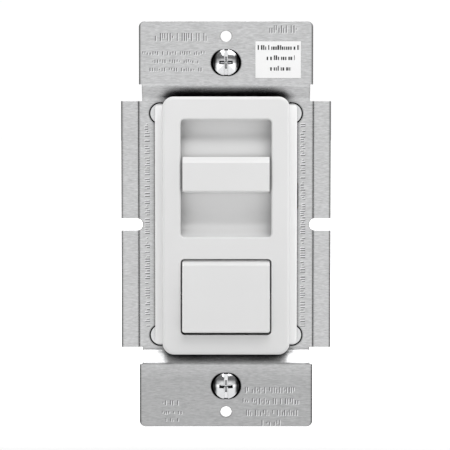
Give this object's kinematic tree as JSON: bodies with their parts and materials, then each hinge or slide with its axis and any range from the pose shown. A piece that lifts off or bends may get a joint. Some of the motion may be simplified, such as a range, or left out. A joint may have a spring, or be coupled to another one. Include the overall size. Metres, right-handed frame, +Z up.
{
  "type": "slide dimmer switch",
  "caption": "Single-gang slide dimmer with an on/off rocker: metal mounting strap, raised white bezel, slide knob in a scooped well and an enclosed circuit behind.",
  "frame": {"origin": "midway between the two box screws, in the rear plane of the ears (the wall's plane)", "axes": "+Z up along the long side, +Y into the wall, the face looks along -Y, +X to the right seen from the front"},
  "size_m": [0.054, 0.04, 0.1044],
  "materials": {
    "strap_metal": "fine brushed",
    "rivet_metal": "satin",
    "screw_metal": "bright zinc plated",
    "retainer": "black fibre washer",
    "label_paper": "matt",
    "frame_white": "low gloss",
    "bezel_white": "low gloss",
    "knob_white": "low gloss",
    "rocker_white": "low gloss",
    "carriage_plastic": "matt",
    "housing_plastic": "fine spark texture",
    "inner_steel": "plated",
    "inner_black": "matt",
    "carbon_track": "matt carbon",
    "contact_brass": "stamped",
    "contact_silver": "silver rivet",
    "board_laminate": "paper laminate",
    "track_laminate": "paper laminate",
    "insulator_film": "polyimide film",
    "ferrite": "painted",
    "winding_wire": "enamelled copper",
    "capacitor_case": "cast resin",
    "resistor_body": "coated",
    "diac_glass": "glass"
  },
  "bodies": {
    "base": {"mounting_strap": "strap_metal", "housing_rivets": "rivet_metal", "box_screws": "screw_metal", "screw_retainers": "retainer", "rating_label": "label_paper", "front_frame": "frame_white", "face_bezel": "bezel_white", "pot_case": "inner_steel", "pot_track_board": "track_laminate", "pot_tracks": "carbon_track", "pivot_terminal": "contact_brass", "fixed_contact": "contact_silver", "contact_terminal": "contact_brass", "circuit_board": "board_laminate", "triac_tab": "inner_steel", "triac_body": "inner_black", "triac_leads": "inner_steel", "triac_insulator": "insulator_film", "triac_rivet": "rivet_metal", "choke_core": "ferrite", "choke_winding": "winding_wire", "film_capacitor": "capacitor_case", "timing_capacitors": "capacitor_case", "resistors": "resistor_body", "diac": "diac_glass", "rear_housing": "housing_plastic"},
    "slider": {"slider_knob": "knob_white", "slider_carriage": "carriage_plastic", "pot_lever": "inner_black", "pot_wiper": "contact_brass"},
    "rocker": {"rocker_paddle": "rocker_white", "rocker_plunger": "carriage_plastic", "plunger_spring": "inner_steel"},
    "contact_seesaw": {"contact_arm": "contact_brass", "moving_contact": "contact_silver"}
  },
  "joints": [
    {"name": "slider_slide", "type": "slide", "parent": "base", "child": "slider", "axis": [0, 0, 1], "range_m": [-0.008, 0.008]},
    {"name": "rocker_tilt", "type": "hinge", "parent": "base", "child": "rocker", "pos_m": [0, -0.0047, -0.0181], "axis": [1, 0, 0], "range_deg": [0, 10]},
    {"name": "contact_rock", "type": "hinge", "parent": "base", "child": "contact_seesaw", "pos_m": [0, 0.0079, -0.0181], "axis": [1, 0, 0], "range_deg": [-12, 0]}
  ],
  "couplings": [
    {"joint": "contact_rock", "follows": "rocker_tilt", "ratio": -1.2}
  ]
}
